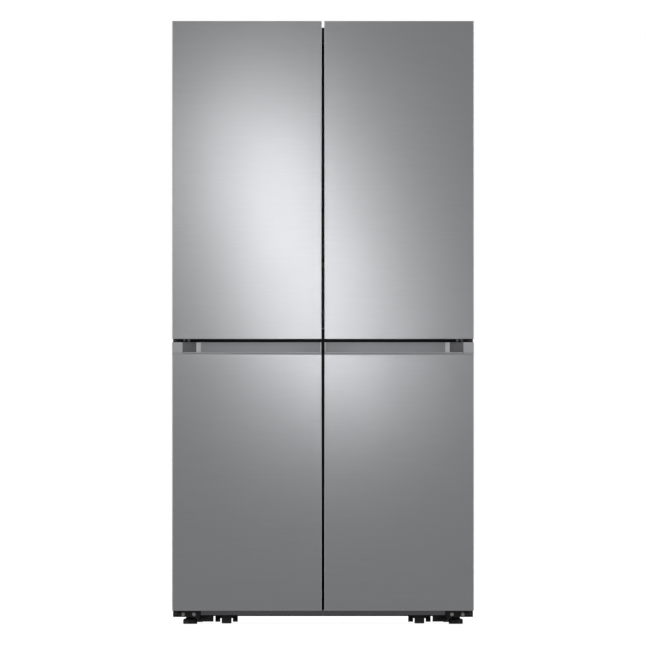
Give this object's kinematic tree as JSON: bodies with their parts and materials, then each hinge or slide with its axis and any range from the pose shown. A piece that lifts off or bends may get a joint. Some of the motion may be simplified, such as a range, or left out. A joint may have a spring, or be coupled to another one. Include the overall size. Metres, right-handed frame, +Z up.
{
  "type": "french door refrigerator",
  "caption": "Upright refrigerator with French doors above a freezer door and a flexible-zone door, recessed handles, drawers, shelves, feet and rollers.",
  "frame": {"origin": "on the floor under the middle of the bounding box", "axes": "+Z up; the doors face -Y; +X is to the right of a person standing in front of the doors"},
  "size_m": [0.912, 0.723, 1.824],
  "materials": {
    "brushed_stainless": "brushed stainless steel, horizontal grain",
    "case_paint": "dark grey painted steel, fine texture",
    "handle_grey": "satin mid-grey plastic with a metallic pigment",
    "cap_grey": "matt dark grey plastic",
    "liner_white": "smooth white vacuum-formed plastic",
    "door_core": "smooth white plastic face over rigid foam",
    "seal_grey": "soft matt grey vinyl",
    "foam": "rigid insulating foam",
    "black_steel": "black powder-coated steel",
    "black_plastic": "black plastic",
    "galvanised": "zinc-plated steel",
    "shelf_glass": "tempered glass with a pale frame",
    "clear_plastic": "clear moulded plastic",
    "coil_metal": "finned coil, copper tube"
  },
  "bodies": {
    "cabinet": {"outer_case": "case_paint", "rear_panel": "galvanised", "cabinet_foam": "foam", "fridge_liner": "liner_white", "freezer_liner": "liner_white", "flex_zone_liner": "liner_white", "front_crossmember": "case_paint", "base_frame": "black_steel", "machine_cover": "black_steel", "compressor": "black_steel", "condenser": "coil_metal", "top_hinge_left": "galvanised", "top_hinge_right": "galvanised", "top_hinge_cover_left": "cap_grey", "top_hinge_cover_right": "cap_grey", "middle_hinge_left": "galvanised", "middle_hinge_right": "galvanised", "bottom_hinge_left": "black_steel", "bottom_hinge_right": "black_steel", "glass_shelf_upper": "shelf_glass", "glass_shelf_middle": "shelf_glass", "crisper_cover_shelf": "shelf_glass"},
    "upper_left_door": {"upper_left_door_skin": "brushed_stainless", "upper_left_door_liner": "door_core", "upper_left_door_top_cap": "cap_grey", "upper_left_door_bottom_cap": "handle_grey", "upper_left_door_seal": "seal_grey", "door_bin_left_upper": "clear_plastic", "door_bin_left_lower": "clear_plastic"},
    "lower_left_door": {"lower_left_door_skin": "brushed_stainless", "lower_left_door_liner": "door_core", "lower_left_door_handle_cap": "handle_grey", "lower_left_door_bottom_cap": "cap_grey", "lower_left_door_seal": "seal_grey"},
    "upper_right_door": {"upper_right_door_skin": "brushed_stainless", "upper_right_door_liner": "door_core", "upper_right_door_top_cap": "cap_grey", "upper_right_door_bottom_cap": "handle_grey", "upper_right_door_seal": "seal_grey", "door_bin_right_upper": "clear_plastic", "door_bin_right_lower": "clear_plastic"},
    "lower_right_door": {"lower_right_door_skin": "brushed_stainless", "lower_right_door_liner": "door_core", "lower_right_door_handle_cap": "handle_grey", "lower_right_door_bottom_cap": "cap_grey", "lower_right_door_seal": "seal_grey"},
    "folding_post_body": {"folding_post": "cap_grey"},
    "roller_front_left_body": {"roller_front_left": "black_plastic"},
    "roller_front_right_body": {"roller_front_right": "black_plastic"},
    "roller_rear_left_body": {"roller_rear_left": "black_plastic"},
    "roller_rear_right_body": {"roller_rear_right": "black_plastic"},
    "levelling_foot_left_body": {"levelling_foot_left": "black_plastic"},
    "levelling_foot_right_body": {"levelling_foot_right": "black_plastic"},
    "crisper_left_body": {"crisper_left": "clear_plastic"},
    "crisper_right_body": {"crisper_right": "clear_plastic"},
    "freezer_drawer_upper_body": {"freezer_drawer_upper": "clear_plastic"},
    "freezer_drawer_lower_body": {"freezer_drawer_lower": "clear_plastic"},
    "flex_drawer_upper_body": {"flex_drawer_upper": "clear_plastic"},
    "flex_drawer_lower_body": {"flex_drawer_lower": "clear_plastic"},
    "condenser_fan_body": {"condenser_fan": "black_plastic"}
  },
  "joints": [
    {"name": "upper_left_door_hinge", "type": "hinge", "parent": "cabinet", "child": "upper_left_door", "pos_m": [-0.441, -0.3115, 1.3435], "axis": [0, 0, -1], "range_deg": [0, 120]},
    {"name": "upper_right_door_hinge", "type": "hinge", "parent": "cabinet", "child": "upper_right_door", "pos_m": [0.441, -0.3115, 1.3435], "axis": [0, 0, 1], "range_deg": [0, 120]},
    {"name": "lower_left_door_hinge", "type": "hinge", "parent": "cabinet", "child": "lower_left_door", "pos_m": [-0.441, -0.3115, 0.447], "axis": [0, 0, -1], "range_deg": [0, 120]},
    {"name": "lower_right_door_hinge", "type": "hinge", "parent": "cabinet", "child": "lower_right_door", "pos_m": [0.441, -0.3115, 0.447], "axis": [0, 0, 1], "range_deg": [0, 120]},
    {"name": "folding_post_hinge", "type": "hinge", "parent": "upper_left_door", "child": "folding_post_body", "pos_m": [-0.034, -0.2372, 1.326], "axis": [0, 0, -1], "range_deg": [0, 90]},
    {"name": "roller_front_left_spin", "type": "hinge", "parent": "cabinet", "child": "roller_front_left_body", "pos_m": [-0.292, -0.18, 0.0208], "axis": [1, 0, 0], "continuous": true},
    {"name": "roller_front_right_spin", "type": "hinge", "parent": "cabinet", "child": "roller_front_right_body", "pos_m": [0.292, -0.18, 0.0208], "axis": [1, 0, 0], "continuous": true},
    {"name": "roller_rear_left_spin", "type": "hinge", "parent": "cabinet", "child": "roller_rear_left_body", "pos_m": [-0.38, 0.32, 0.02], "axis": [1, 0, 0], "continuous": true},
    {"name": "roller_rear_right_spin", "type": "hinge", "parent": "cabinet", "child": "roller_rear_right_body", "pos_m": [0.38, 0.32, 0.02], "axis": [1, 0, 0], "continuous": true},
    {"name": "levelling_foot_left_travel", "type": "slide", "parent": "cabinet", "child": "levelling_foot_left_body", "axis": [0, 0, -1], "range_m": [0, 0.012]},
    {"name": "levelling_foot_right_travel", "type": "slide", "parent": "cabinet", "child": "levelling_foot_right_body", "axis": [0, 0, -1], "range_m": [0, 0.012]},
    {"name": "crisper_left_slide", "type": "slide", "parent": "cabinet", "child": "crisper_left_body", "axis": [0, -1, 0], "range_m": [0, 0.068]},
    {"name": "crisper_right_slide", "type": "slide", "parent": "cabinet", "child": "crisper_right_body", "axis": [0, -1, 0], "range_m": [0, 0.068]},
    {"name": "freezer_drawer_upper_slide", "type": "slide", "parent": "cabinet", "child": "freezer_drawer_upper_body", "axis": [0, -1, 0], "range_m": [0, 0.09]},
    {"name": "freezer_drawer_lower_slide", "type": "slide", "parent": "cabinet", "child": "freezer_drawer_lower_body", "axis": [0, -1, 0], "range_m": [0, 0.09]},
    {"name": "flex_drawer_upper_slide", "type": "slide", "parent": "cabinet", "child": "flex_drawer_upper_body", "axis": [0, -1, 0], "range_m": [0, 0.09]},
    {"name": "flex_drawer_lower_slide", "type": "slide", "parent": "cabinet", "child": "flex_drawer_lower_body", "axis": [0, -1, 0], "range_m": [0, 0.09]},
    {"name": "condenser_fan_spin", "type": "hinge", "parent": "cabinet", "child": "condenser_fan_body", "pos_m": [-0.062, 0.265, 0.14], "axis": [1, 0, 0], "continuous": true}
  ]
}
